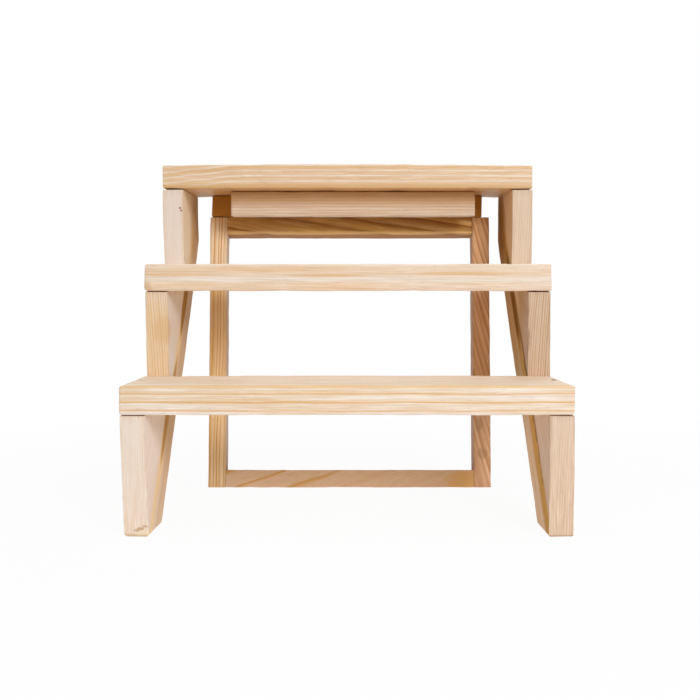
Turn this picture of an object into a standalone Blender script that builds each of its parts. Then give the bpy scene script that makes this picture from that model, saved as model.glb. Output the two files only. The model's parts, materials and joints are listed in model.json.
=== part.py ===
"""Three-step display stand of planed pine with a hinged leg frame under its top tread.

Metres, +Z up. The stand's front faces -Y, and its origin lies on the floor under the middle of its box.
"""

import math

import bmesh
import bpy
from mathutils import Matrix, Vector

# Treads
STAND_WIDTH = 0.3048
STEP_COUNT = 3
FIRST_STEP_HEIGHT = 0.1016
STEP_RISE = 0.08414
TREAD_DEPTH = 0.0889
TREAD_THICKNESS = 0.01905

# Stringers
STRINGER_THICKNESS = 0.0165
FOOT_DEPTH = 0.0425

# Strips under the top tread, which stop short of the stringers
BATTEN_END_GAP = 0.03205
BATTEN_DEPTH = 0.01905
BATTEN_HEIGHT = 0.0209
BATTEN_SETBACK = 0.0226
BATTEN_OFFSET = 0.0043
REAR_RAIL_END_GAP = 0.01605
REAR_RAIL_DEPTH = 0.01905
REAR_RAIL_HEIGHT = 0.01905
REAR_RAIL_INSET = 0.00675
REAR_RAIL_OFFSET = -0.0011

# Leg frame, which hangs under the rear rail
LEG_SIDE_GAP = 0.01455
LEG_STRIP_WIDTH = 0.0148
LEG_STRIP_THICKNESS = 0.01905
LEG_LEAN = math.radians(12.0)
LEG_OFFSET = 0.0014

# Butt hinges
HINGE_LENGTH = 0.0254
HINGE_FROM_END = 0.0289
LEAF_WIDTH = 0.0105
LEAF_THICKNESS = 0.0011
KNUCKLE_RADIUS = 0.0022
MIDDLE_KNUCKLE_LENGTH = 0.0110
PIN_RADIUS = 0.0011
PIN_HEAD_LIP = 0.0006
PIN_HEAD_HEIGHT = 0.0009
HINGE_SCREW_FROM_END = 0.0047
HINGE_SCREW_FROM_EDGE = 0.0041
HINGE_SCREW_LENGTH = 0.0095
HINGE_SCREW_RADIUS = 0.0011
HINGE_SCREW_HEAD_RADIUS = 0.0020
HINGE_SCREW_HEAD_HEIGHT = 0.0013

# Nails and wood screws, each with its bite into the second board
NAIL_RADIUS = 0.0009
NAIL_HEAD_RADIUS = 0.0017
NAIL_HEAD_HEIGHT = 0.0010
NAIL_FROM_END = 0.0050
NAIL_FROM_FRONT = 0.0490
TREAD_NAIL_BITE = 0.0190
FRAME_NAIL_BITE = 0.0155
SCREW_RADIUS = 0.0017
SCREW_HEAD_RADIUS = 0.0034
SCREW_HEAD_HEIGHT = 0.0026
SCREW_FROM_END = 0.0650
SCREW_BITE = 0.0105

# Fits, edges and facets
FIT_GAP = 0.0003
PIN_GAP = 0.00015
ARRIS = 0.0006
METAL_EDGE = 0.0002
CUT_OVERRUN = 0.0020
ROUND_SIDES = 16
WELD = 1e-6

# Colours, linear RGB
PALE_PINE = (0.82, 0.62, 0.40)
GOLDEN_PINE = (0.76, 0.52, 0.29)
WARM_PINE = (0.72, 0.47, 0.27)
HINGE_STEEL = (0.62, 0.60, 0.55)
SCREW_STEEL = (0.66, 0.63, 0.52)
NAIL_STEEL = (0.40, 0.37, 0.34)

# Places of the treads and stringers
STEP_RUN = TREAD_DEPTH + FIT_GAP
STAND_DEPTH = STEP_COUNT * STEP_RUN - FIT_GAP
FRONT_Y = -STAND_DEPTH / 2
TOP_STEP = STEP_COUNT - 1
TOP_TREAD_UNDERSIDE = FIRST_STEP_HEIGHT + TOP_STEP * STEP_RISE - TREAD_THICKNESS
STRINGER_X = (STAND_WIDTH - STRINGER_THICKNESS) / 2
INNER_WIDTH = STAND_WIDTH - 2 * STRINGER_THICKNESS
NAIL_X = STAND_WIDTH / 2 - NAIL_FROM_END

# Places of the strips under the top tread
STRIP_TOP = TOP_TREAD_UNDERSIDE - FIT_GAP
BATTEN_LENGTH = INNER_WIDTH - 2 * BATTEN_END_GAP
BATTEN_FRONT_Y = FRONT_Y + TOP_STEP * STEP_RUN + BATTEN_SETBACK
REAR_RAIL_LENGTH = INNER_WIDTH - 2 * REAR_RAIL_END_GAP
REAR_RAIL_BACK_Y = FRONT_Y + STAND_DEPTH - REAR_RAIL_INSET
REAR_RAIL_BOTTOM = STRIP_TOP - REAR_RAIL_HEIGHT

# The leg frame hangs from its hinge axis: up along its stiles and back through their thickness
LEG_TOP = REAR_RAIL_BOTTOM - FIT_GAP
LEG_WIDTH = INNER_WIDTH - 2 * LEG_SIDE_GAP
LEG_RAIL_LENGTH = LEG_WIDTH - 2 * LEG_STRIP_WIDTH - 2 * FIT_GAP
LEG_REAR = -KNUCKLE_RADIUS - FIT_GAP
LEG_FACE = LEG_REAR - LEG_STRIP_THICKNESS
LEG_CORE = (LEG_REAR + LEG_FACE) / 2
LEG_UP = Vector((0, math.sin(LEG_LEAN), math.cos(LEG_LEAN)))
LEG_BACK = Vector((0, math.cos(LEG_LEAN), -math.sin(LEG_LEAN)))
HINGE_AXIS = Vector((LEG_OFFSET, REAR_RAIL_BACK_Y - LEG_REAR, REAR_RAIL_BOTTOM - FIT_GAP / 2))
HINGE_X = min(REAR_RAIL_LENGTH, LEG_RAIL_LENGTH) / 2 - HINGE_FROM_END
HINGE_SCREW_X = HINGE_LENGTH / 2 - HINGE_SCREW_FROM_END
HINGE_SCREW_REACH = LEAF_WIDTH - HINGE_SCREW_FROM_EDGE

SIDES = (("left", -1), ("right", 1))

for old_object in list(bpy.data.objects):
    bpy.data.objects.remove(old_object, do_unlink=True)

parts = bpy.data.collections.new("step_display_stand")
cutters = bpy.data.collections.new("cutters")
bpy.context.scene.collection.children.link(parts)
bpy.context.scene.collection.children.link(cutters)


def material(name, colour, roughness, metallic=0.0):
    """A Principled material for one kind of piece."""
    made = bpy.data.materials.new(name)
    made.use_nodes = True
    shader = made.node_tree.nodes["Principled BSDF"]
    shader.inputs["Base Color"].default_value = (*colour, 1.0)
    shader.inputs["Roughness"].default_value = roughness
    shader.inputs["Metallic"].default_value = metallic
    return made


def place(name, mesh, finish=None, location=(0, 0, 0), parent=None):
    """Put a mesh in the scene: with a finish it is a piece, and without one a hidden cutter."""
    made = bpy.data.objects.new(name, mesh)
    made.location = location
    made.parent = parent
    if finish is None:
        cutters.objects.link(made)
        made.hide_render = True
        made.display_type = "WIRE"
    else:
        parts.objects.link(made)
        made.data.materials.append(finish)
    return made


def soften(piece, width):
    """Round a piece's sharp edges."""
    edge = piece.modifiers.new("soft_edges", "BEVEL")
    edge.width = width
    edge.segments = 2
    edge.limit_method = "ANGLE"


def combine(piece, tool, operation="DIFFERENCE"):
    """Cut a piece with another object, or join that object to it."""
    step = piece.modifiers.new(operation.lower(), "BOOLEAN")
    step.operation = operation
    step.solver = "EXACT"
    step.object = tool


def box_mesh(name, size):
    """A box of the given size, centred on its origin."""
    shape = bmesh.new()
    bmesh.ops.create_cube(shape, size=1.0, matrix=Matrix.Diagonal((*size, 1.0)))
    mesh = bpy.data.meshes.new(name)
    shape.to_mesh(mesh)
    shape.free()
    return mesh


def board(name, size, centre, finish):
    """A planed board with softened edges."""
    piece = place(name, box_mesh(name, size), finish, centre)
    soften(piece, ARRIS)
    return piece


def side_outline(name, points, width):
    """A flat outline in y and z, given a width along x and centred on x = 0."""
    curve = bpy.data.curves.new(name, "CURVE")
    curve.dimensions = "2D"
    curve.fill_mode = "BOTH"
    curve.extrude = width / 2
    spline = curve.splines.new("POLY")
    spline.points.add(len(points) - 1)
    for corner, (y, z) in zip(spline.points, points):
        corner.co = (y, z, 0, 1)
    spline.use_cyclic_u = True
    drawn = bpy.data.objects.new(name, curve)
    cutters.objects.link(drawn)
    bpy.context.view_layer.update()
    mesh = bpy.data.meshes.new_from_object(drawn.evaluated_get(bpy.context.evaluated_depsgraph_get()))
    bpy.data.objects.remove(drawn)
    bpy.data.curves.remove(curve)
    shape = bmesh.new()
    shape.from_mesh(mesh)
    bmesh.ops.remove_doubles(shape, verts=shape.verts, dist=WELD)
    bmesh.ops.dissolve_limit(shape, angle_limit=math.radians(0.01), verts=shape.verts, edges=shape.edges)
    upright = Matrix.Rotation(math.pi / 2, 4, "Z") @ Matrix.Rotation(math.pi / 2, 4, "X")
    bmesh.ops.transform(shape, matrix=upright, verts=shape.verts)
    bmesh.ops.recalc_face_normals(shape, faces=shape.faces)
    shape.to_mesh(mesh)
    shape.free()
    mesh.name = name
    return mesh


def turned(name, profile, location, turn, finish=None, parent=None):
    """A turned piece from its half section, as (radius, height) points from its top down to its tip."""
    shape = bmesh.new()
    corners = [shape.verts.new((radius, 0, height)) for radius, height in profile]
    for upper, lower in zip(corners, corners[1:]):
        shape.edges.new((upper, lower))
    mesh = bpy.data.meshes.new(name)
    shape.to_mesh(mesh)
    shape.free()
    piece = place(name, mesh, finish, location, parent)
    piece.rotation_euler = turn
    spin = piece.modifiers.new("turn", "SCREW")
    spin.axis = "Z"
    spin.steps = ROUND_SIDES
    spin.render_steps = ROUND_SIDES
    spin.use_merge_vertices = True
    spin.merge_threshold = WELD
    spin.use_smooth_shade = True
    return piece


def nail_profile(length, gap=0.0):
    """A flat-headed nail with a cone point. A gap grows it into the hole that it goes in."""
    over = CUT_OVERRUN if gap else 0.0
    neck = -NAIL_HEAD_HEIGHT - gap
    tip = -length - gap
    taper = tip + 2 * NAIL_RADIUS
    return [
        (0, over),
        (NAIL_HEAD_RADIUS + gap, over),
        (NAIL_HEAD_RADIUS + gap, neck),
        (NAIL_RADIUS + gap, neck),
        (NAIL_RADIUS + gap, taper),
        (0, tip),
    ]


def wood_screw_profile(length, gap=0.0):
    """A countersunk wood screw. A gap grows it into the hole that it goes in."""
    over = CUT_OVERRUN if gap else 0.0
    tip = -length - gap
    taper = tip + 2 * SCREW_RADIUS
    return [
        (0, over),
        (SCREW_HEAD_RADIUS + gap, over),
        (SCREW_HEAD_RADIUS + gap, -gap),
        (SCREW_RADIUS + gap, -SCREW_HEAD_HEIGHT - gap),
        (SCREW_RADIUS + gap, taper),
        (0, tip),
    ]


def hinge_screw_profile():
    """A small round-head screw whose head sits on the hinge leaf at height 0."""
    dome = [(0, HINGE_SCREW_HEAD_HEIGHT)]
    for angle in (math.radians(60), math.radians(30), 0.0):
        dome.append((HINGE_SCREW_HEAD_RADIUS * math.cos(angle), HINGE_SCREW_HEAD_HEIGHT * math.sin(angle)))
    taper = -HINGE_SCREW_LENGTH + 2 * HINGE_SCREW_RADIUS
    return dome + [(HINGE_SCREW_RADIUS, 0), (HINGE_SCREW_RADIUS, taper), (0, -HINGE_SCREW_LENGTH)]


def hinge_screw_hole_profile():
    """The hole for a hinge screw, from clear above the leaf to past the screw's tip."""
    radius = HINGE_SCREW_RADIUS + FIT_GAP
    tip = -HINGE_SCREW_LENGTH - FIT_GAP
    return [(0, CUT_OVERRUN), (radius, CUT_OVERRUN), (radius, tip + 2 * HINGE_SCREW_RADIUS), (0, tip)]


def seat_height(step):
    """The height of a stringer's seat under one tread."""
    return FIRST_STEP_HEIGHT + step * STEP_RISE - TREAD_THICKNESS - FIT_GAP


def stringer_outline():
    """The sawtooth front, the back under the top tread, and the sloping rear edge down to the foot."""
    points = [(FRONT_Y, 0.0)]
    for step in range(STEP_COUNT):
        riser = FRONT_Y + step * STEP_RUN
        back = FRONT_Y + STAND_DEPTH if step == TOP_STEP else riser + STEP_RUN
        points += [(riser, seat_height(step)), (back, seat_height(step))]
    slope = STEP_RISE / STEP_RUN
    points.append((FRONT_Y + STAND_DEPTH, slope * (STAND_DEPTH - FOOT_DEPTH)))
    points.append((FRONT_Y + FOOT_DEPTH, 0.0))
    return points


def leg_level_point(height, depth):
    """The y and z, from the hinge axis, of a point of the leg frame at a height above the floor."""
    along = (height - HINGE_AXIS.z - depth * LEG_BACK.z) / LEG_UP.z
    point = along * LEG_UP + depth * LEG_BACK
    return point.y, point.z


def leg_square_point(height, depth, reach):
    """As above, for a point that lies a reach along the frame from the front face's edge at a height."""
    along = (height - HINGE_AXIS.z - LEG_FACE * LEG_BACK.z) / LEG_UP.z + reach
    point = along * LEG_UP + depth * LEG_BACK
    return point.y, point.z


def knuckle(name, length, offset, leaf_piece):
    """A stretch of hinge barrel along x, as a tool that is joined to its leaf."""
    shape = bmesh.new()
    bmesh.ops.create_cone(
        shape,
        cap_ends=True,
        segments=ROUND_SIDES,
        radius1=KNUCKLE_RADIUS,
        radius2=KNUCKLE_RADIUS,
        depth=length,
        matrix=Matrix.Translation((offset, 0, 0)) @ Matrix.Rotation(math.pi / 2, 4, "Y"),
    )
    mesh = bpy.data.meshes.new(name)
    shape.to_mesh(mesh)
    shape.free()
    return place(name, mesh, None, leaf_piece.location, leaf_piece.parent)


def knuckle_room(name, length, offset, leaf_piece):
    """Room in a leaf for the other leaf's knuckle, with a running gap at its ends."""
    reach = 2 * (KNUCKLE_RADIUS + FIT_GAP)
    mesh = box_mesh(name, (length + 2 * FIT_GAP, reach, reach))
    mesh.transform(Matrix.Translation((offset, 0, 0)))
    return place(name, mesh, None, leaf_piece.location, leaf_piece.parent)


def pin_bore(name, leaf_piece):
    """The bore that the pin runs in, right through a leaf's barrel."""
    radius = PIN_RADIUS + PIN_GAP
    reach = HINGE_LENGTH / 2 + CUT_OVERRUN
    profile = [(0, reach), (radius, reach), (radius, -reach), (0, -reach)]
    return turned(name, profile, leaf_piece.location, ALONG_X, None, leaf_piece.parent)


def hinge_leaf(name, direction, lean, x, own_knuckles, other_knuckles):
    """A hinge leaf: a plate tangent to the barrel, above the pin at direction 1 and below it at -1."""
    plate = box_mesh(name, (HINGE_LENGTH, LEAF_THICKNESS, LEAF_WIDTH))
    shift = Vector((0, LEAF_THICKNESS / 2 - KNUCKLE_RADIUS, direction * LEAF_WIDTH / 2))
    plate.transform(Matrix.Rotation(-lean, 4, "X") @ Matrix.Translation(shift))
    made = place(name, plate, hinge_steel, (x, 0, 0), leg_pivot)
    soften(made, METAL_EDGE)
    for number, (length, offset) in enumerate(own_knuckles):
        combine(made, knuckle(f"{name}_knuckle_{number}", length, offset, made), "UNION")
    for number, (length, offset) in enumerate(other_knuckles):
        combine(made, knuckle_room(f"{name}_room_{number}", length, offset, made))
    combine(made, pin_bore(f"{name}_bore", made))
    return made


ALONG_X = (0, math.pi / 2, 0)
POINT_DOWN = (0, 0, 0)
POINT_UP = (math.pi, 0, 0)

pale_pine = material("pale_pine", PALE_PINE, 0.62)
golden_pine = material("golden_pine", GOLDEN_PINE, 0.62)
warm_pine = material("warm_pine", WARM_PINE, 0.64)
hinge_steel = material("hinge_steel", HINGE_STEEL, 0.35, 1.0)
screw_steel = material("screw_steel", SCREW_STEEL, 0.30, 1.0)
nail_steel = material("nail_steel", NAIL_STEEL, 0.45, 1.0)

# The leg frame turns on this axis, so its pieces hang from an empty that lies there
leg_pivot = bpy.data.objects.new("leg_pivot", None)
leg_pivot.location = HINGE_AXIS
parts.objects.link(leg_pivot)

# Stringers
stringers = {}
for side, sign in SIDES:
    outline = side_outline(f"{side}_stringer", stringer_outline(), STRINGER_THICKNESS)
    stringers[side] = place(f"{side}_stringer", outline, pale_pine, (sign * STRINGER_X, 0, 0))
    soften(stringers[side], ARRIS)

# Treads, each held by a nail into each stringer
treads = []
tread_nail_length = TREAD_THICKNESS + FIT_GAP + TREAD_NAIL_BITE
for step, step_name in enumerate(("lower", "middle", "top")):
    top = FIRST_STEP_HEIGHT + step * STEP_RISE
    front = FRONT_Y + step * STEP_RUN
    centre = (0, front + TREAD_DEPTH / 2, top - TREAD_THICKNESS / 2)
    tread = board(f"{step_name}_tread", (STAND_WIDTH, TREAD_DEPTH, TREAD_THICKNESS), centre, golden_pine)
    treads.append(tread)
    for side, sign in SIDES:
        spot = (sign * NAIL_X, front + NAIL_FROM_FRONT, top)
        name = f"{step_name}_tread_nail_{side}"
        turned(name, nail_profile(tread_nail_length), spot, POINT_DOWN, nail_steel)
        hole = turned(f"{name}_hole", nail_profile(tread_nail_length, FIT_GAP), spot, POINT_DOWN)
        combine(tread, hole)
        combine(stringers[side], hole)

# Batten and rear rail, each screwed up into the top tread
batten_centre = (BATTEN_OFFSET, BATTEN_FRONT_Y + BATTEN_DEPTH / 2, STRIP_TOP - BATTEN_HEIGHT / 2)
batten_size = (BATTEN_LENGTH, BATTEN_DEPTH, BATTEN_HEIGHT)
batten = board("batten", batten_size, batten_centre, pale_pine)
rail_centre = (REAR_RAIL_OFFSET, REAR_RAIL_BACK_Y - REAR_RAIL_DEPTH / 2, STRIP_TOP - REAR_RAIL_HEIGHT / 2)
rail_size = (REAR_RAIL_LENGTH, REAR_RAIL_DEPTH, REAR_RAIL_HEIGHT)
rear_rail = board("rear_rail", rail_size, rail_centre, warm_pine)
for strip, (length, _, height) in ((batten, batten_size), (rear_rail, rail_size)):
    screw_length = height + FIT_GAP + SCREW_BITE
    for side, sign in SIDES:
        spot = strip.location + Vector((sign * (length / 2 - SCREW_FROM_END), 0, -height / 2))
        name = f"{strip.name}_screw_{side}"
        turned(name, wood_screw_profile(screw_length), spot, POINT_UP, screw_steel)
        hole = turned(f"{name}_hole", wood_screw_profile(screw_length, FIT_GAP), spot, POINT_UP)
        combine(strip, hole)
        combine(treads[TOP_STEP], hole)

# Leg frame: two full-height stiles with level ends, and two rails between them
stile_side = [
    leg_level_point(0, LEG_FACE),
    leg_level_point(0, LEG_REAR),
    leg_level_point(LEG_TOP, LEG_REAR),
    leg_level_point(LEG_TOP, LEG_FACE),
]
rail_sides = {
    "top": [
        leg_square_point(LEG_TOP, LEG_FACE, -LEG_STRIP_WIDTH),
        leg_square_point(LEG_TOP, LEG_REAR, -LEG_STRIP_WIDTH),
        leg_level_point(LEG_TOP, LEG_REAR),
        leg_level_point(LEG_TOP, LEG_FACE),
    ],
    "bottom": [
        leg_level_point(0, LEG_FACE),
        leg_level_point(0, LEG_REAR),
        leg_square_point(0, LEG_REAR, LEG_STRIP_WIDTH),
        leg_square_point(0, LEG_FACE, LEG_STRIP_WIDTH),
    ],
}
rail_cores = {
    "top": leg_square_point(LEG_TOP, LEG_CORE, -LEG_STRIP_WIDTH / 2),
    "bottom": leg_square_point(0, LEG_CORE, LEG_STRIP_WIDTH / 2),
}
stile_x = (LEG_WIDTH - LEG_STRIP_WIDTH) / 2
stiles = {}
for side, sign in SIDES:
    mesh = side_outline(f"leg_{side}_stile", stile_side, LEG_STRIP_WIDTH)
    stiles[side] = place(f"leg_{side}_stile", mesh, warm_pine, (sign * stile_x, 0, 0), leg_pivot)
    soften(stiles[side], ARRIS)
frame_nail_length = LEG_STRIP_WIDTH + FIT_GAP + FRAME_NAIL_BITE
leg_rails = {}
for level, rail_side in rail_sides.items():
    mesh = side_outline(f"leg_{level}_rail", rail_side, LEG_RAIL_LENGTH)
    leg_rails[level] = place(f"leg_{level}_rail", mesh, golden_pine, (0, 0, 0), leg_pivot)
    soften(leg_rails[level], ARRIS)
    for side, sign in SIDES:
        spot = (sign * LEG_WIDTH / 2, *rail_cores[level])
        inward = (0, sign * math.pi / 2, 0)
        name = f"leg_{level}_nail_{side}"
        turned(name, nail_profile(frame_nail_length), spot, inward, nail_steel, leg_pivot)
        hole = turned(f"{name}_hole", nail_profile(frame_nail_length, FIT_GAP), spot, inward, None, leg_pivot)
        combine(stiles[side], hole)
        combine(leg_rails[level], hole)

# Hinges: the fixed leaf has the two outer knuckles and the moving leaf the middle one
outer_length = (HINGE_LENGTH - MIDDLE_KNUCKLE_LENGTH) / 2 - FIT_GAP
outer_offset = (HINGE_LENGTH - outer_length) / 2
middle_knuckle = [(MIDDLE_KNUCKLE_LENGTH, 0.0)]
outer_knuckles = [(outer_length, -outer_offset), (outer_length, outer_offset)]
pin_head = HINGE_LENGTH / 2 + FIT_GAP
pin_profile = [
    (0, pin_head + PIN_HEAD_HEIGHT),
    (PIN_RADIUS + PIN_HEAD_LIP, pin_head + PIN_HEAD_HEIGHT),
    (PIN_RADIUS + PIN_HEAD_LIP, pin_head),
    (PIN_RADIUS, pin_head),
    (PIN_RADIUS, -HINGE_LENGTH / 2),
    (0, -HINGE_LENGTH / 2),
]
screw_seat = LEAF_THICKNESS - KNUCKLE_RADIUS + FIT_GAP
for side, sign in SIDES:
    hinge_x = sign * HINGE_X
    turned(f"hinge_{side}_pin", pin_profile, (hinge_x, 0, 0), ALONG_X, hinge_steel, leg_pivot)
    for half, direction, lean, wood, own, other in (
        ("fixed", 1, 0.0, rear_rail, outer_knuckles, middle_knuckle),
        ("moving", -1, LEG_LEAN, leg_rails["top"], middle_knuckle, outer_knuckles),
    ):
        leaf = hinge_leaf(f"hinge_{side}_{half}_leaf", direction, lean, hinge_x, own, other)
        inward = (-math.pi / 2 - lean, 0, 0)
        for number, end in ((1, -1), (2, 1)):
            spot = Matrix.Rotation(-lean, 3, "X") @ Vector((0, screw_seat, direction * HINGE_SCREW_REACH))
            spot.x = hinge_x + end * HINGE_SCREW_X
            name = f"hinge_{side}_{half}_screw_{number}"
            turned(name, hinge_screw_profile(), spot, inward, screw_steel, leg_pivot)
            hole = turned(f"{name}_hole", hinge_screw_hole_profile(), spot, inward, None, leg_pivot)
            combine(leaf, hole)
            combine(wood, hole)

bpy.context.view_layer.update()
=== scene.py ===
# %% [markdown]
# # The looks of a step display stand
# The stand is a small shop riser: two sawtooth side boards carry three nailed treads, and a hinged leg frame
# props the top tread from behind. It is planed pine without a finish, so nearly all of its looks lie in how
# each board was sawn out of its tree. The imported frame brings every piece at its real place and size, and
# this script dresses the pieces without moving them.

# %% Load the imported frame
import json
import math

import bmesh
import bpy
from mathutils import Matrix, Vector, noise


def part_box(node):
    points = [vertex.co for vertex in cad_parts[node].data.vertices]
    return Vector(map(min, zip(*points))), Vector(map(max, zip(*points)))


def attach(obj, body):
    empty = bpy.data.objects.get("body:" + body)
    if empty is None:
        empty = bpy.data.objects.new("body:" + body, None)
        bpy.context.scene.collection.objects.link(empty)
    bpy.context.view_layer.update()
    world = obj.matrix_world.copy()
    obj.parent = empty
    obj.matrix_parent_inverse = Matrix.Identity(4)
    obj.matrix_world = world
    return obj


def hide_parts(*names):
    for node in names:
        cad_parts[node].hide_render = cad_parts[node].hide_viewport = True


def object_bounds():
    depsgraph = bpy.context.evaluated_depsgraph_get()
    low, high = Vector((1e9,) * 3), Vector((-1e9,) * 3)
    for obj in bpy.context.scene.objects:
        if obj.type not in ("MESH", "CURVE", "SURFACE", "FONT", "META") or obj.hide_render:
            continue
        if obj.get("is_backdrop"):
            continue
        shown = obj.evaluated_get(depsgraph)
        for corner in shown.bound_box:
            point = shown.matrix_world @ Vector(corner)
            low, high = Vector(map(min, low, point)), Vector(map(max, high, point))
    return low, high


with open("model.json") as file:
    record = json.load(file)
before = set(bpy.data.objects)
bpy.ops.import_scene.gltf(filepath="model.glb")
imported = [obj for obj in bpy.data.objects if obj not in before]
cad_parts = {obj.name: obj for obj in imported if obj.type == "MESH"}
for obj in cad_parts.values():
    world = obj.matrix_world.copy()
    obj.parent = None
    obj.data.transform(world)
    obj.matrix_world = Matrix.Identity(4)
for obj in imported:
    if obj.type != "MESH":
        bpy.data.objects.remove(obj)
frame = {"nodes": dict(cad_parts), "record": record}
cad_low, cad_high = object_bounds()
MM = 0.001
print("frame:", len(frame["nodes"]), "nodes,", [round(side / MM, 1) for side in cad_high - cad_low], "mm")

# %% [markdown]
# ## Camera
# The photograph looks square at the front: upright edges stay parallel, and the edges that run straight back
# meet at one point above the middle of the picture. A tilted camera would lean the uprights, so this one is
# level, and a lens shift brings the meeting point to its place.

# %% Place the camera
IMAGE_SIDE = 700
MEETING_POINT = (350.0, 293.3)  # pixels
FOCAL_LENGTH = 1114.0  # pixels
CAMERA_DISTANCE = 0.747  # from the front of the lowest tread
CAMERA_HEIGHT = 0.1637
CAMERA_X = 0.0017
SENSOR = 36.0


def add(name, data):
    """Put a new object into the scene."""
    made = bpy.data.objects.new(name, data)
    bpy.context.scene.collection.objects.link(made)
    return made


lens = bpy.data.cameras.new("camera")
lens.sensor_width = SENSOR
lens.lens = FOCAL_LENGTH / IMAGE_SIDE * SENSOR
lens.shift_x = (IMAGE_SIDE / 2 - MEETING_POINT[0]) / IMAGE_SIDE
lens.shift_y = (MEETING_POINT[1] - IMAGE_SIDE / 2) / IMAGE_SIDE
camera = add("camera", lens)
camera.location = (CAMERA_X, cad_low.y - CAMERA_DISTANCE, CAMERA_HEIGHT)
camera.rotation_euler = (math.pi / 2, 0, 0)
bpy.context.scene.camera = camera
bpy.context.scene.view_settings.view_transform = "Standard"
print(f"camera: {lens.lens:.1f} mm lens, shifted {lens.shift_y:.3f}")

# %% [markdown]
# ## Shader maths
# A node tree is hard to read as a list of links. This small class wraps a socket, so that a formula can be
# written as one: an operator adds a Math node, and the node method adds any other kind.


# %% Write shader maths as expressions
class Wire:
    """A socket of a node tree. Operators add Math nodes, and node() adds any other node."""

    def __init__(self, socket):
        self.socket = socket

    def node(self, kind, settings=(), inputs=(), output=0):
        """Add a node: its settings first, then the values or wires of its sockets."""
        tree = self.socket.id_data
        made = tree.nodes.new(kind)
        for name, value in dict(settings).items():
            setattr(made, name, value)
        for key, value in dict(inputs).items():
            if isinstance(value, Wire):
                tree.links.new(value.socket, made.inputs[key])
            else:
                made.inputs[key].default_value = value
        return Wire(made.outputs[output])

    def maths(self, operation, first, second=0.0):
        return self.node("ShaderNodeMath", {"operation": operation}, {0: first, 1: second})

    def __add__(self, other):
        return self.maths("ADD", self, other)

    def __sub__(self, other):
        return self.maths("SUBTRACT", self, other)

    def __rsub__(self, other):
        return self.maths("SUBTRACT", other, self)

    def __mul__(self, other):
        return self.maths("MULTIPLY", self, other)

    def __truediv__(self, other):
        return self.maths("DIVIDE", self, other)

    def __abs__(self):
        return self.maths("ABSOLUTE", self)

    __radd__ = __add__
    __rmul__ = __mul__


def smooth(value, low, high):
    """0 below low, 1 above high, and an S between them; low may be the larger."""
    settings = {"interpolation_type": "SMOOTHSTEP"}
    if low <= high:
        return value.node("ShaderNodeMapRange", settings, {"Value": value, "From Min": low, "From Max": high})
    return 1 - smooth(value, high, low)


def curve(value, points):
    """A smooth curve through a few (input, output) points."""
    (first, _), (last, _) = points[0], points[-1]
    bottom = min(result for _, result in points)
    span = max(result for _, result in points) - bottom or 1.0
    share = (value - first) / (last - first)
    ramp = share.node("ShaderNodeValToRGB", {}, {0: share})
    greys = ramp.socket.node.color_ramp
    greys.interpolation = "EASE"
    while len(greys.elements) < len(points):
        greys.elements.new(1.0)
    for stop, (place, result) in zip(greys.elements, points):
        stop.position = (place - first) / (last - first)
        stop.color = (*[(result - bottom) / span] * 3, 1.0)
    return ramp * span + bottom


def vector(operation, first, second, output=0):
    """Vector Math on wires and plain vectors, of which the first is a wire."""
    return first.node("ShaderNodeVectorMath", {"operation": operation}, {0: first, 1: second}, output)


def mottle(place, cells, detail=2.0, seed=0.0, output=0):
    """Noise whose cells have the given length along each axis, in metres."""
    stretched = vector("DIVIDE", place, cells)
    inputs = {"Vector": stretched, "W": seed, "Scale": 1.0, "Detail": detail}
    return place.node("ShaderNodeTexNoise", {"noise_dimensions": "4D"}, inputs, output)


def tint(factor, first, second):
    """Mix two colours, each a wire or a tuple of linear red, green and blue."""
    ends = [end if isinstance(end, Wire) else (*end, 1.0) for end in (first, second)]
    return factor.node("ShaderNodeMix", {"data_type": "RGBA"}, {0: factor, 6: ends[0], 7: ends[1]}, 2)


def scaled(values, by):
    """Three values, such as a colour, times one number or each times its own."""
    return tuple(value * share for value, share in zip(values, by if isinstance(by, tuple) else (by,) * 3))


def shader(name):
    """A new material, with its Principled shader and its object coordinates."""
    made = bpy.data.materials.new(name)
    made.use_nodes = True
    principled = made.node_tree.nodes["Principled BSDF"]
    place = Wire(made.node_tree.nodes.new("ShaderNodeTexCoord").outputs["Object"])
    return made, principled, place


def join(wire, node, socket):
    """Lead a wire to a socket of a node that is there already."""
    node.id_data.links.new(wire.socket, node.inputs[socket])


print("shader helpers ready")

# %% [markdown]
# ## Light and floor
# The shadow under the top tread fades out on the batten only 2 cm down, so the main light is large. It hangs
# above the camera and to the right, for the left side board's inner face is the paler one. A second light
# overhead makes the step tops as bright as the fronts. The table sends up much light near the stand and
# little from afar, which lights the lower pieces but leaves the space under the top tread dark. Room and
# floor are white to the camera only, so that the wood's colours render about as written.

# %% Light the stand
SKY_LEVEL = 0.1
SKY_TINT = (1.0, 0.86, 0.7)  # the room gives back the warmth of the wood
SOFTBOXES = {  # place, size, power and colour
    "key": ((0.85, -1.85, 1.0), 0.8, 29.6, (0.955, 1.01, 1.12)),
    "fill": ((-1.3, -1.4, 0.5), 1.2, 2.0, (1.0, 1.0, 1.0)),
    "top": ((0.0, -0.3, 1.7), 1.6, 15.0, (0.955, 1.015, 1.13)),
    "back": ((0.2, 1.5, 1.3), 1.4, 5.0, (1.0, 0.97, 0.92)),
}
STAND_MIDDLE = (cad_low + cad_high) / 2

for name, (place, size, power, colour) in SOFTBOXES.items():
    lamp = bpy.data.lights.new(f"{name}_softbox", "AREA")
    lamp.energy = power
    lamp.size = size
    lamp.color = colour
    softbox = add(lamp.name, lamp)
    softbox.location = place
    softbox.rotation_euler = (STAND_MIDDLE - softbox.location).to_track_quat("-Z", "Y").to_euler()


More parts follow.
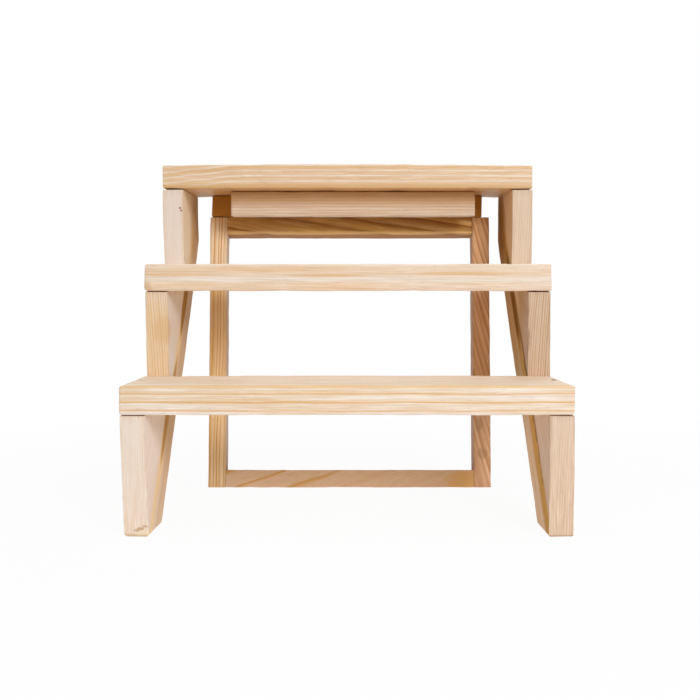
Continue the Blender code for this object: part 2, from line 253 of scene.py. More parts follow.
def seen_directly(tree):
    """1 for the rays that show a background to the eye, also by way of metal, and 0 for those that light."""
    path = tree.nodes.new("ShaderNodeLightPath")
    rays = [Wire(path.outputs[f"Is {ray} Ray"]) for ray in ("Camera", "Glossy", "Transmission")]
    return smooth(rays[0] + rays[1] + rays[2], 0.0, 1.0)


sky = bpy.data.worlds.new("white_sky")
sky.use_nodes = True
bpy.context.scene.world = sky
sky_light = Wire(sky.node_tree.nodes["Background"].outputs[0])
sky.node_tree.nodes["Background"].inputs["Color"].default_value = (*SKY_TINT, 1)
sky.node_tree.nodes["Background"].inputs["Strength"].default_value = SKY_LEVEL
white = sky_light.node("ShaderNodeBackground", {}, {"Color": (1, 1, 1, 1), "Strength": 1.0})
both = sky_light.node("ShaderNodeMixShader", {}, {0: seen_directly(sky.node_tree), 1: sky_light, 2: white})
join(both, sky.node_tree.nodes["World Output"], 0)
print("lamps:", ", ".join(SOFTBOXES))

# %% Lay the floor
FLOOR_SIDE = 12.0
FLOOR_WHITE = (0.86, 0.83, 0.79)
TABLE_LIGHT = (1.1, 0.25)  # what the floor sends up at the wood, close to the stand and far from it
TABLE_REACH = (0.2, 0.65)
TABLE_SHARE = 0.65  # how much of the floor's light is set here; the rest is what the lamps make of it
FLOOR_GLOW = 0.95  # how far the floor is white to the camera near the stand; the rest shows its shadow
GLOW_REACH = (0.22, 0.75)  # from here to here the floor turns wholly white
FLOOR_DROP = 0.05 * MM

shape = bmesh.new()
bmesh.ops.create_grid(shape, x_segments=1, y_segments=1, size=FLOOR_SIDE / 2)
bmesh.ops.translate(shape, vec=(0, 0, -FLOOR_DROP), verts=shape.verts)
floor_mesh = bpy.data.meshes.new("floor")
shape.to_mesh(floor_mesh)
shape.free()
floor = add("floor", floor_mesh)
floor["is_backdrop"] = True

floor_paper, principled, floor_place = shader("floor_paper")
principled.inputs["Base Color"].default_value = (*FLOOR_WHITE, 1)
principled.inputs["Roughness"].default_value = 0.9
paper = Wire(principled.outputs[0])
distance = vector("LENGTH", floor_place, (0, 0, 0), "Value")
seen = seen_directly(floor_paper.node_tree)
sent = TABLE_LIGHT[1] + smooth(distance, *reversed(TABLE_REACH)) * (TABLE_LIGHT[0] - TABLE_LIGHT[1])
glow = paper.node("ShaderNodeEmission", {}, {"Color": seen + (1 - seen) * sent, "Strength": 1.0})
far = smooth(distance, *GLOW_REACH)
share = seen * (FLOOR_GLOW + far * (1 - FLOOR_GLOW)) + (1 - seen) * TABLE_SHARE
lit = paper.node("ShaderNodeMixShader", {}, {0: share, 1: paper, 2: glow})
join(lit, floor_paper.node_tree.nodes["Material Output"], 0)
floor_mesh.materials.append(floor_paper)
print(f"floor: {FLOOR_SIDE:.0f} m square")

# %% [markdown]
# ## Pine
# A tree grows a layer a year round its heart line: pale early wood first, then a darker late band that ends
# sharply where the next year starts. A flat picture of stripes would not agree from one face to the next, so
# this finish is solid: it reads the ring at each point's distance from the board's own heart line. How that
# line runs sets one board apart from another. Stains, which are soft eggs of another colour, add the streaks
# and spots that no formula would bring; some of them paint shade into recesses and under the treads, and
# light onto a few lit parts. Raw pine hardly shines, and a board seen at a low angle gets no gloss, or the
# white room would veil its colour.


# %% Write the parts of a finish
def late_wood(ring, start, full, fade):
    """How dark the wood is within its year, with a strength of its own for each year."""
    year = ring.maths("FLOOR", ring)
    season = ring - year
    strength = ring.node("ShaderNodeTexWhiteNoise", {"noise_dimensions": "1D"}, {"W": year}) * 0.45 + 0.55
    return smooth(season, start, full) * smooth(season, 1.0, fade) * strength


def stain(colour, place, ragged, spots):
    """Tint a colour round each spot, in an egg of the given half lengths whose rim is ragged."""
    for spot, reach, shade, amount in spots:
        reach = reach if isinstance(reach, tuple) else (reach,) * 3
        egg = vector("LENGTH", vector("DIVIDE", vector("SUBTRACT", place, spot), reach), (0, 0, 0), "Value")
        colour = tint(smooth(egg + ragged, 1.0, 0.55) * amount, colour, shade)
    return colour


def stains_at(depth, reach, rows):
    """Stains at one depth, from rows of a place along and across, half a length and width, and the rest."""
    return [((far, depth, out), (long, reach, wide), *look) for far, out, long, wide, *look in rows]


print("parts of a finish ready")

# %% Make the pine finish
EVEN = ((-1.0, 1.0), (1.0, 1.0))  # a curve that stays at 1 all along a board
SWAY_CELLS = (0.085, 0.03, 0.03)  # noise cells along the grain, sideways and outwards, in metres
FIBRE_CELLS = (0.03, 0.0007, 0.0007)
STREAK_CELLS = (0.11, 0.0045, 0.0045)
FLAT_FIBRE_CELLS = (0.06, 0.004, 0.0011)
FLAT_STREAK_CELLS = (0.17, 0.02, 0.0055)
CLOUD_CELLS = (0.05, 0.02, 0.016)
DUCT_CELLS = (0.006, 0.0005, 0.0005)
SLANT = 8  # keeps the ends of the fibres' cells from lining up across a board
BLEACHED = (1.0, 0.93, 0.84)
MILKY = (0.97, 0.9, 0.8)


def pine(
    name, heart, grain, year_width, year_edge, early, late, season, sway, drift=None, boldness=EVEN,
    blush=(0.74, 0.5, 0.3), blush_amount=0.3, tone=0.48, streaks=(), flats=(), marks=(), spread=1.0,
    rim=0.5, fleck=1.0, uneven=0.0, plain=None, painted_shade_face=None, cloud=0.0, shine=0.32, seed=0.0,
):
    """Solid pine round a heart line. Lengths are in metres, and colours are linear.

    The spread stretches fibres across a board whose years lie flat, and the rim draws each year's last cells.
    The tone is how far broad streaks of the late wood's colour run through the early wood. Streaks are stains
    placed from the heart line, along the grain first; marks are placed in the room. Faces across the plain
    axis lie flat in their years, which are faint there, and have flats for streaks. One face, picked by the
    way it faces, can be toned as painted shade, and a cloud is how much pale patches show.
    """
    made, principled, place = shader(name)
    turn = Vector(grain).to_track_quat("X", "Z").to_euler()
    lie = {"Vector": place, "Location": heart, "Rotation": turn}
    log = place.node("ShaderNodeMapping", {"vector_type": "TEXTURE"}, lie)
    along, sideways, outwards = (log.node("ShaderNodeSeparateXYZ", {}, {0: log}, axis) for axis in "XYZ")

    # The heart line sways a little, and a ring's radius can drift on its way along the board
    sway_noise = mottle(log, SWAY_CELLS, 3.0, seed, "Color")
    bend = vector("MULTIPLY", vector("SUBTRACT", sway_noise, (0.5,) * 3), (2 * sway,) * 3)
    radius = vector("LENGTH", vector("MULTIPLY", vector("ADD", log, bend), (0, 1, 1)), (0, 0, 0), "Value")
    if drift:
        radius = radius + curve(along, drift)
    ring = (radius - year_edge) / year_width
    if uneven:
        years = {"W": ring * 0.45 + seed, "Scale": 1.0}
        ring = ring + (ring.node("ShaderNodeTexNoise", {"noise_dimensions": "1D"}, years) - 0.5) * uneven
    bold = curve(along, boldness)
    facing = place.node("ShaderNodeTexCoord", {}, {}, "Normal")
    if plain:
        flat = smooth(abs(vector("DOT_PRODUCT", facing, plain, "Value")), 0.6, 0.9)
        bold = bold * (1 - 0.75 * flat)
    dark = late_wood(ring, *season) * bold
    last = late_wood(ring, season[1] - 0.1, season[1], season[2]) * bold * rim

    # Fibres are fine streaks along the grain, and blush is a broad one
    stretch = (1, 1, spread)
    slant = vector("DOT_PRODUCT", log, (1, SLANT, SLANT / spread), "Value")
    slanted = log.node("ShaderNodeCombineXYZ", {}, {0: slant, 1: sideways, 2: outwards})
    fibre = mottle(slanted, scaled(FIBRE_CELLS, stretch), 3.0, seed + 0.3)
    streak = mottle(slanted, scaled(STREAK_CELLS, stretch), 2.0, seed + 7.3)
    if plain:
        fibre = fibre + (mottle(log, FLAT_FIBRE_CELLS, 3.0, seed + 5.3) - fibre) * flat
        streak = streak + (mottle(log, FLAT_STREAK_CELLS, 2.0, seed + 9.3) - streak) * flat
    ragged = (streak - 0.5) * 0.7 + (fibre - 0.5) * 0.7
    duct = smooth(mottle(log, DUCT_CELLS, 0.0, seed + 3), 0.7, 0.78)
    colour = tint(smooth(streak, 0.42, 0.72) * blush_amount, early, blush)
    if cloud:
        colour = tint(smooth(mottle(log, CLOUD_CELLS, 3.0, seed + 11), 0.46, 0.66) * cloud, colour, MILKY)
    colour = tint(smooth(streak, 0.25, 0.6) * tone, colour, late)
    streaked = stain(colour, log, ragged, streaks)
    colour = tint(flat, streaked, stain(colour, log, ragged, flats)) if plain else streaked
    colour = tint(dark, colour, late)
    colour = tint(last, colour, scaled(late, (0.86, 0.7, 0.52)))
    colour = tint(smooth(fibre, 0.46, 0.74) * (0.16 * fleck), colour, scaled(late, 0.62))
    colour = tint(smooth(fibre, 0.5, 0.28) * (0.14 * fleck), colour, BLEACHED)
    colour = tint(duct * 0.3, colour, scaled(late, 0.45))

    # End grain drinks in light, and the eased edges are burnished
    end = smooth(abs(vector("DOT_PRODUCT", facing, Vector(grain).normalized(), "Value")), 0.8, 0.97)
    colour = tint(end * 0.42, colour, scaled(late, 0.6))
    arris = place.node("ShaderNodeAttribute", {"attribute_name": "arris"}, {}, "Fac")
    colour = tint(arris * smooth(fibre, 0.3, 0.6) * 0.3, colour, scaled(late, 0.8))
    # Painted shade: the face picked by its way is toned darker, as though it lay in shade
    if painted_shade_face:
        way, shade, amount = painted_shade_face
        colour = tint(smooth(vector("DOT_PRODUCT", facing, way, "Value"), 0.6, 0.9) * amount, colour, shade)
    colour = stain(colour, place, ragged, marks)

    join(colour, principled, "Base Color")
    join(0.56 + fibre * 0.16 - dark * 0.08 + end * 0.1 - arris * 0.08, principled, "Roughness")
    principled.inputs["Specular IOR Level"].default_value = shine
    relief = fibre * 0.5 + dark * 0.35 - duct * 0.6
    bump = relief.node("ShaderNodeBump", {}, {"Strength": 0.45, "Distance": 0.25 * MM, "Height": relief})
    join(bump, principled, "Normal")
    return made


print("pine finish ready")

# %% [markdown]
# ## Boards
# A planed board is a box, but not a perfect one: its edges were eased with a block of abrasive, and no edge
# runs dead straight. A bare cube with a bevel would look machined, so each board is first cut across into
# short lengths, which gives its surfaces points to move, then eased, and then moved a few tenths of a
# millimetre by noise. A line cut beside each edge, like a hem, keeps the wear of the edge from spreading over
# the face. A nail's or screw's head sits in a shallow pocket that it was driven into.

# %% Saw a board
ALONG_X = Vector((1, 0, 0))
ALONG_Y = Vector((0, 1, 0))
UP = Vector((0, 0, 1))
SIDES = ("left", "right")
CUT_STEP = 7.0 * MM
HEM = 2.6 * MM


def blank():
    """An empty shape with a layer that marks its eased edges."""
    shape = bmesh.new()
    shape.verts.layers.float.new("arris")
    return shape


def only(kind, parts):
    return [part for part in parts if isinstance(part, kind)]


def sawn_box(low, high):
    shape = blank()
    bmesh.ops.create_cube(shape, size=1.0)
    bmesh.ops.scale(shape, vec=high - low, verts=shape.verts)
    bmesh.ops.translate(shape, vec=(low + high) / 2, verts=shape.verts)
    return shape


def sawn_outline(points, left, right, shape=None):
    """A board with an outline in y and z, between two places along x, alone or added to a shape."""
    shape = blank() if shape is None else shape
    face = shape.faces.new([shape.verts.new((left, y, z)) for y, z in points])
    drawn = bmesh.ops.extrude_face_region(shape, geom=[face])
    moved = only(bmesh.types.BMVert, drawn["geom"])
    bmesh.ops.translate(shape, vec=(right - left, 0, 0), verts=moved)
    bmesh.ops.recalc_face_normals(shape, faces=shape.faces)
    return shape


def cut_at(shape, axis, places, faces=None):
    """Cut a shape, or some of its faces, at places along an axis or another way, which leaves it whole."""
    across = axis if isinstance(axis, Vector) else Vector((axis == 0, axis == 1, axis == 2))
    for place in places:
        cut = shape.faces[:] if faces is None else faces()
        edges = {edge for face in cut for edge in face.edges}
        points = {point for face in cut for point in face.verts}
        everything = cut + list(edges) + list(points)
        bmesh.ops.bisect_plane(shape, geom=everything, dist=1e-6, plane_co=across * place, plane_no=across)


def cut_across(shape, axis, step=CUT_STEP):
    """Cut a shape into short lengths along an axis."""
    places = [point.co[axis] for point in shape.verts]
    low, high = min(places), max(places)
    count = round((high - low) / step)
    cut_at(shape, axis, [low + (high - low) * number / count for number in range(1, count)])


def hem(shape, *ways):
    """Cut a line beside each edge, so that its wear ends there and leaves the middle of a face alone."""
    for way in ways:
        places = [point.co.dot(way) for point in shape.verts]
        cut_at(shape, way, (min(places) + HEM, max(places) - HEM))


print(f"boards are cut every {CUT_STEP / MM:.0f} mm")

# %% Ease a board's edges and sink its pockets
EASED = 0.8 * MM
EASE_STEPS = 3
SHARP = 0.75  # radians, so that an edge that is round already is left as it is
POCKET_SIDES = 20
POCKET_ROOM = 1.5  # the square round a pocket, in pocket radii
ON_FACE = 0.3 * MM


def ease(shape, width=EASED, edges=None):
    """Round the sharp outer edges of a shape, or the given ones."""
    if edges is None:
        edges = [edge for edge in shape.edges if edge.is_convex and edge.calc_face_angle(0.0) > SHARP]
    rounded = bmesh.ops.bevel(
        shape, geom=edges, offset=width, affect="EDGES", segments=EASE_STEPS, profile=0.5, material=-1,
        clamp_overlap=True,
    )
    arris = shape.verts.layers.float["arris"]
    for point in rounded["verts"]:
        point[arris] = 1.0
    for face in rounded["faces"]:
        face.smooth = True


def sink(shape, spot, out, radius, depth):
    """Sink a round pocket into a flat face, with the face's outward way given along an axis."""
    shape.normal_update()
    ways = [axis for axis in range(3) if not out[axis]]
    reach = radius * POCKET_ROOM

    def level_faces():
        return [
            face for face in shape.faces
            if face.normal.dot(out) > 0.9 and abs((face.verts[0].co - spot).dot(out)) < ON_FACE
        ]

    for axis in ways:
        cut_at(shape, axis, (spot[axis] - reach, spot[axis] + reach), level_faces)
    patch = [
        face for face in level_faces()
        if all(abs(point.co[axis] - spot[axis]) < reach + 1e-5 for point in face.verts for axis in ways)
    ]
    patch_edges = {edge for face in patch for edge in face.edges}
    rim = [edge for edge in patch_edges if len(set(edge.link_faces) & set(patch)) == 1]
    bmesh.ops.delete(shape, geom=patch, context="FACES")
    turn = Vector(out).to_track_quat("Z", "Y").to_matrix().to_4x4()
    ring = bmesh.ops.create_circle(
        shape, cap_ends=False, segments=POCKET_SIDES, radius=radius, matrix=Matrix.Translation(spot) @ turn
    )["verts"]
    circle = list({edge for point in ring for edge in point.link_edges})
    bmesh.ops.bridge_loops(shape, edges=rim + circle)
    wall = bmesh.ops.extrude_edge_only(shape, edges=circle)["geom"]
    bmesh.ops.translate(shape, vec=Vector(out) * -depth, verts=only(bmesh.types.BMVert, wall))
    bmesh.ops.contextual_create(shape, geom=only(bmesh.types.BMEdge, wall))
    bmesh.ops.recalc_face_normals(shape, faces=shape.faces)


print(f"edges are eased by {EASED / MM} mm")

# %% Age a board and dress it
WAVER = 0.22 * MM
WAVER_LENGTH = 22.0 * MM
EDGE_WEAR = 0.45 * MM
noise.seed_set(1)  # or the clock would seed the waver, and each run would differ a little


def age(shape, seed, wear=EDGE_WEAR):
    """Let the surfaces waver, and wear the eased edges unevenly."""
    arris = shape.verts.layers.float["arris"]
    shape.normal_update()
    for point in shape.verts:
        spot = point.co / WAVER_LENGTH + Vector((seed, 0, 0))
        worn = wear * point[arris] * max(0.0, noise.noise(2.0 * spot))
        point.co += WAVER * noise.noise_vector(spot) - worn * point.normal


def soften(shape):
    """Shade a plain board smoothly between its sharp edges, so that its wavering faces show no facets."""
    for face in shape.faces:
        face.smooth = True
    for edge in shape.edges:
        edge.smooth = edge.calc_face_angle(0.0) < SHARP


def dress(shape, node, finish):
    """Turn a shape into the piece that stands for a CAD node, named after the node and attached to its body.
    """
    mesh = bpy.data.meshes.new(f"{node}_look")
    shape.to_mesh(mesh)
    shape.free()
    piece = add(f"{node}_look", mesh)
    mesh.materials.append(finish)
    record = frame["record"]
    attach(piece, next(body for body, nodes in record["behaviour"]["bodies"].items() if node in nodes))
    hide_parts(node)
    next(part["material_slot"] for part in record["subparts"] if part["node"] == node)
    print(f"{piece.name}: {len(mesh.polygons)} faces")


print(f"board faces waver by {WAVER / MM} mm")

# %% [markdown]
# ## Treads
# The three treads are lengths of the same plain board, and each was sawn from another part of a log. The
# lower one lay under its heart, so bold golden years stripe its front edge and leave broad pale shapes on
# its top. The middle one shows a single boundary between two wide years, and short faint streaks. The top one
# is tan with thin pale lines, which dip towards its left end where the tree bent. None is quite true: they
# were cut too long, swell up between their ends, and have rubbed ends and thicker front edges.

# %% Set out the treads
NAIL_POCKET = (2.05 * MM, 0.55 * MM)  # radius and depth
OVERLONG = {"lower": (1.0, 0.4), "middle": (0.5, 0.8), "top": (1.6, 0.8)}  # mm, at the left and right ends
WORN_END = {"lower": (1.9, 1.9), "middle": (2.5, 1.1), "top": (1.5, 1.1)}  # mm, rubbed round there
CROWN = {"lower": 0.4, "middle": 0.1, "top": 1.3}  # mm, by which a board swells up between its ends
THICK_FRONT = {"lower": 0.6, "middle": 1.3, "top": 0.0}  # mm, by which its front edge is thicker
TREAD_WEAR = {"lower": 0.45, "middle": 0.6, "top": 1.0}  # mm
FRONT_REACH = 16.0 * MM

tread_boxes = {step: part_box(f"{step}_tread") for step in ("lower", "middle", "top")}


def front_share(y, front):
    """1 at the front edge of a tread, and 0 from a little way behind it."""
    return min(1.0, max(0.0, 1 - (y - front) / FRONT_REACH))


def arch(shape, low, high, crown, thick):
    """Round a tread's upper side up between its ends, and let the lower side of its front edge hang."""
    for point in shape.verts:
        if point.co.z < (low.z + high.z) / 2:
            point.co.z -= thick * front_share(point.co.y, low.y)
        else:
            point.co.z += crown * max(0.0, 1 - (point.co.x / high.x) ** 2)


def end_edges(shape, side):
    """The sharp edges from front to back at a tread's left end, for side -1, or right end, for 1."""
    sharp = [edge for edge in shape.edges if edge.calc_face_angle(0.0) > SHARP]
    across = [edge for edge in sharp if abs(edge.verts[0].co.y - edge.verts[1].co.y) > 10 * MM]
    return [edge for edge in across if edge.verts[0].co.x * side > 0]


print("tread tops:", [round(high.z / MM, 1) for low, high in tread_boxes.values()], "mm up")

# %% Choose the treads' pines
low, high = tread_boxes["lower"]
lower_pine = pine(
    "lower_tread_pine", heart=(0, low.y + 0.02, high.z + 0.045), grain=ALONG_X, year_width=0.0054,
    year_edge=0.0547, early=(0.895, 0.8, 0.695), late=(0.83, 0.48, 0.17), season=(0.58, 0.9, 0.935),
    sway=1.2 * MM, blush=(0.8, 0.54, 0.27), blush_amount=0.45, rim=0.8, fleck=1.4, cloud=1.0, tone=0.26,
    marks=(((0, low.y, high.z), (1.0, 0.0022, 0.0018), (0.8, 0.49, 0.19), 0.75),), seed=1.0,
)
HONEY = (0.8, 0.49, 0.22)
FINE_STREAKS = (
    (-0.128, -0.068, 0.036, 0.0014, HONEY, 0.75), (-0.058, -0.0647, 0.04, 0.0012, HONEY, 0.7),
    (-0.016, -0.0687, 0.036, 0.0013, HONEY, 0.75), (0.088, -0.0672, 0.046, 0.0015, HONEY, 0.75),
)
low, high = tread_boxes["middle"]
middle_pine = pine(
    "middle_tread_pine", heart=(0, low.y + 0.03, high.z + 0.06), grain=ALONG_X, year_width=0.0112,
    year_edge=0.0749, early=(0.915, 0.815, 0.705), late=(0.86, 0.56, 0.29), season=(0.15, 0.8, 0.95),
    sway=1.1 * MM, boldness=((-1, 0.34), (1, 0.34)), blush=(0.9, 0.58, 0.29), blush_amount=0.6, fleck=1.5,
    streaks=(
        ((0, -0.03, -0.0655), (0.6, 0.04, 0.0055), (0.84, 0.6, 0.36), 0.4),
        *stains_at(-0.03, 0.012, FINE_STREAKS),
    ),
    marks=(((low.x, low.y, low.z), (0.0075, 0.02, 0.0075), (0.64, 0.37, 0.16), 0.55),), tone=0.18, seed=2.0,
)
low, high = tread_boxes["top"]
top_pine = pine(
    "top_tread_pine", heart=(0, low.y + 0.02, low.z - 0.05), grain=ALONG_X, year_width=0.00425,
    year_edge=0.0675, early=(0.92, 0.8, 0.655), late=(0.79, 0.487, 0.222), season=(0.12, 0.36, 0.93),
    sway=0.9 * MM, blush_amount=0.18, rim=0.2, fleck=1.5, tone=0.24, seed=3.0,
    drift=((-0.1524, 0.006), (-0.125, 0.003), (-0.095, 0.0), (0.1524, 0.0)),
    # Painted shade: the underside and the foot of the front face are toned golden brown, as they lie in shade
    marks=(((0, low.y + 0.0445, low.z - 0.001), (1.0, 0.12, 0.0065), (0.66, 0.37, 0.13), 0.8),),
)
print("pines:", lower_pine.name, middle_pine.name, top_pine.name)

# %% Make the treads
for step, finish in (("lower", lower_pine), ("middle", middle_pine), ("top", top_pine)):
    low, high = tread_boxes[step]
    left, right = OVERLONG[step]
    shape = sawn_box(low - left * MM * ALONG_X, high + right * MM * ALONG_X)
    for side, width in zip((-1, 1), WORN_END[step]):
        ease(shape, width * MM, end_edges(shape, side))
    hem(shape, ALONG_X, ALONG_Y, UP)
    cut_across(shape, 0)
    ease(shape)
    for side in SIDES:
        low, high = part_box(f"{step}_tread_nail_{side}")
        sink(shape, Vector(((low.x + high.x) / 2, (low.y + high.y) / 2, high.z)), UP, *NAIL_POCKET)
    arch(shape, *tread_boxes[step], CROWN[step] * MM, THICK_FRONT[step] * MM)
    age(shape, len(step), TREAD_WEAR[step] * MM)
    soften(shape)
    dress(shape, f"{step}_tread", finish)

# %% [markdown]
# ## Side boards
# Each stringer was cut from a wide board with its grain along the slope, and its years lie flat in it, so the
# short upright fronts show them as pinstripes and the wide faces show hardly any. A brown stripe of heartwood
# runs along the inner faces, with specks of bark in the right one. Painted shade darkens that stripe under
# the treads, and painted warm shade tones the top of each inner face under the top tread. Both boards are
# bowed, and their nails pulled their tops and feet aside. Bending the finished mesh keeps the sawn outline
# true, where a bent outline would not stay a plane board.

# %% Draw the side boards' outline
FOOT_DEPTH = 42.5 * MM
front, back = cad_low.y, cad_high.y
treads = list(tread_boxes.values())
run = treads[1][0].y - treads[0][0].y
rise = treads[1][0].z - treads[0][0].z
seat_gap = treads[2][0].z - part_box("left_stringer")[1].z
slope = rise / run
board_way = Vector((0, 1, slope)).normalized()
outline = [(front, 0.0)]
for number, (low, high) in enumerate(treads):
    behind = treads[number + 1][0].y if number < 2 else back
    outline += [(low.y, low.z - seat_gap), (behind, low.z - seat_gap)]
outline += [(back, slope * (back - front - FOOT_DEPTH)), (front + FOOT_DEPTH, 0.0)]
print(f"side boards: {len(outline)} corners, run {run / MM:.1f} and rise {rise / MM:.1f} mm")

# %% Write what bent and tore them
BOW_REACH = 0.11  # from the rear edge
BOW_HEIGHT = 0.19  # from the floor up to here, most of the bow is lost
BOW_LOST = 0.74
SEAT_GAPS = 0.35 * MM, 0.5 * MM, 0.8 * MM  # under the front of each tread
SEAT_REACH = 1.5 * MM
TORN_GRAIN = 2.5 * MM


def bow(shape, amount):
    """Bend a stringer sideways, most at its rear edge and towards its foot."""
    for point in shape.verts:
        from_rear = (point.co.z - slope * (point.co.y - front - FOOT_DEPTH)) * board_way.y
        share = max(0.0, 1 - from_rear / BOW_REACH) * (1 - BOW_LOST * min(1.0, point.co.z / BOW_HEIGHT))
        point.co.x += amount * share


def lean(shape, course):
    """Push a stringer sideways by (height, millimetres) points, as the nails in its seats pulled it."""
    for point in shape.verts:
        for (low, start), (high, end) in zip(course, course[1:] + ((1.0, course[-1][1]),)):
            if low <= point.co.z < high:
                point.co.x += (start + (end - start) * (point.co.z - low) / (high - low)) * MM


def open_seats(shape):
    """Lower the front of each seat a little, as the saw ran out of square, so that a dark gap shows."""
    for (step, (low, high)), gap in zip(tread_boxes.items(), SEAT_GAPS):
        for point in shape.verts:
            if abs(point.co.z - low.z) < SEAT_REACH and low.y - MM < point.co.y < low.y + FRONT_REACH:
                point.co.z -= (gap + THICK_FRONT[step] * MM) * front_share(point.co.y, low.y)


def chip(shape, spot, reach, depth):
    """Tear wood out of an eased edge near a spot, deepest in the middle and ragged by noise."""
    arris = shape.verts.layers.float["arris"]
    shape.normal_update()
    for point in shape.verts:
        far = (point.co - spot).length / reach
        if point[arris] and far < 1:
            ragged = 0.8 + 0.5 * noise.noise(point.co / TORN_GRAIN)
            point.co -= point.normal * depth * (1 - far * far) * ragged


print(f"seats open by up to {max(SEAT_GAPS) / MM} mm")

# %% Choose the side boards' streaks
SPECKS = (  # of bark, left along the right board's brown streak: along the grain and out from the rear edge
    (0.012, 0.035), (0.019, 0.0363), (0.03, 0.0344), (0.034, 0.0368), (0.049, 0.0356), (0.053, 0.0372),
    (0.067, 0.0349), (0.082, 0.0364), (0.087, 0.0351), (0.103, 0.037), (0.118, 0.0354), (0.124, 0.0367),
)
# The numbers of a streak are its place, as for a speck, and half its length and width
LEFT_THROUGH = ((0.12, 0.059, 0.045, 0.045, (0.85, 0.61, 0.36), 0.75),)
RIGHT_THROUGH = (
    (0.02, 0.05, 0.08, 0.05, (0.77, 0.55, 0.38), 0.62),
    (0.12, 0.059, 0.055, 0.05, (0.66, 0.47, 0.31), 0.6),
    (0.25, 0.07, 0.07, 0.05, (0.82, 0.63, 0.45), 0.62),
)
LEFT_FACE = (
    (0.0, 0.055, 0.09, 0.055, (0.86, 0.745, 0.67), 0.6),
    # Painted warm shade: the top of the inner face, under the top tread, is toned golden
    (0.27, 0.055, 0.1, 0.06, (1.0, 0.8, 0.52), 0.8),
    (0.18, 0.01, 0.3, 0.018, (0.58, 0.35, 0.17), 0.65),
    (0.13, 0.0262, 0.3, 0.0078, (0.9, 0.65, 0.35), 0.85),
    # Painted shadow: this row and the next darken the streak right under the middle and the lower tread
    (0.2, 0.0262, 0.044, 0.0092, (0.4, 0.175, 0.03), 0.95),
    (0.087, 0.0262, 0.058, 0.0084, (0.47, 0.22, 0.045), 0.9),
    # Painted shadow: darker still right under the top tread
    (0.316, 0.025, 0.06, 0.03, (0.57, 0.3, 0.09), 0.52),
)
RIGHT_FACE = (
    (0.16, 0.064, 0.3, 0.034, (0.68, 0.49, 0.38), 0.75),
    (0.21, 0.05, 0.085, 0.05, (0.62, 0.37, 0.155), 0.7),
    (0.0, 0.03, 0.09, 0.07, (0.84, 0.65, 0.52), 0.7),
    # Painted warm shade: the top of the inner face, under the top tread, is toned golden
    (0.27, 0.055, 0.1, 0.06, (1.0, 0.66, 0.36), 0.8),
    (0.28, 0.012, 0.21, 0.023, (0.57, 0.31, 0.125), 0.88),
    (0.01, 0.01, 0.1, 0.022, (0.92, 0.67, 0.45), 0.7),
    (0.14, 0.031, 0.32, 0.0115, (0.64, 0.34, 0.08), 0.85),
    # Painted shadow: the streak is darkest right under the middle tread
    (0.2, 0.031, 0.07, 0.0095, (0.23, 0.08, 0.005), 0.97),
    (0.02, 0.03, 0.12, 0.0095, (0.7, 0.38, 0.1), 0.85),
    (0.11, 0.039, 0.11, 0.0034, (0.22, 0.09, 0.015), 0.7),
    # Painted shadow: darker right under the top tread
    (0.316, 0.025, 0.06, 0.03, (0.4, 0.175, 0.035), 0.64),
    *((far, out, 0.0048, 0.0014, (0.22, 0.1, 0.03), 0.8) for far, out in SPECKS),
)
LEFT_SPOTS = (
    ((-0.1371, -0.0445, 0.136), 0.013, (0.74, 0.46, 0.21), 0.5),
    ((-0.1396, 0.0447, 0.2346), 0.0013, (0.33, 0.13, 0.04), 0.85),
    ((-0.1385, 0.0447, 0.2325), 0.0013, (0.33, 0.13, 0.04), 0.85),
    ((-0.1371, -0.1336, 0.003), (0.006, 0.004, 0.0022), (0.86, 0.66, 0.42), 0.5),
    ((-0.1416, -0.1336, 0.0047), (0.0026, 0.004, 0.0011), (0.5, 0.27, 0.1), 0.6),
    ((-0.1389, -0.1336, 0.0058), (0.003, 0.004, 0.0013), (0.46, 0.25, 0.09), 0.65),
    ((-0.1358, -0.1336, 0.0074), (0.0026, 0.004, 0.0011), (0.5, 0.27, 0.1), 0.55),
)
print("streaks:", len(LEFT_THROUGH + LEFT_FACE), "left and", len(RIGHT_THROUGH + RIGHT_FACE), "right")

# %% Describe the side boards
HEART_FAR = 0.9  # the heart line lies this far outside a stringer
MID_BOARD = {"left": -0.908, "right": 0.891}  # from the heart line to the middle of the board
INNER_FACE = {"left": -0.917, "right": 0.9}
THROUGH, SKIN = 0.02, 0.009  # how far a stain reaches from there, through the board or in its inner face
FRONTS = (-0.035, 0.04, 0.085, 0.15, 0.205, 0.34)  # where the years' boldness is given, along the grain
STRINGERS = {
    "left": {
        "bow": 5.2 * MM, "chip": None, "foot": 2.8 * MM, "through": LEFT_THROUGH, "face": LEFT_FACE,
        "lean": ((0.0, -1.1), (0.08, -1.1), (0.105, 0.0), (0.17, 0.0), (0.225, -1.7)),
        "pine": {
            "early": (0.855, 0.73, 0.615), "late": (0.79, 0.46, 0.17), "year_width": 0.0019,
            "blush_amount": 0.06, "fleck": 0.42, "tone": 0.08, "marks": LEFT_SPOTS,
            "boldness": tuple(zip(FRONTS, (0.06, 0.09, 0.85, 0.8, 0.15, 0.15))),
        },
    },
    "right": {
        "bow": -1.7 * MM, "chip": (Vector((0.1359, -0.0445, 0.1287)), 0.01, 1.1 * MM), "foot": 1.8 * MM,
        "lean": ((0.0, 0.4), (0.08, 0.4), (0.105, 0.0), (0.17, 0.0), (0.225, 1.0)),
        "through": RIGHT_THROUGH, "face": RIGHT_FACE,
        "pine": {
            "early": (0.85, 0.69, 0.525), "late": (0.55, 0.315, 0.165), "year_width": 0.0017,
            "blush_amount": 0.35, "fleck": 0.8, "tone": 0.28,
            "marks": (((0.1379, -0.0445, 0.129), 0.006, (0.62, 0.44, 0.3), 0.5),),
            "boldness": tuple(zip(FRONTS, (0.24, 0.28, 1.0, 0.95, 0.3, 0.3))),
        },
    },
}
print("bowed by", [look["bow"] / MM for look in STRINGERS.values()], "mm")

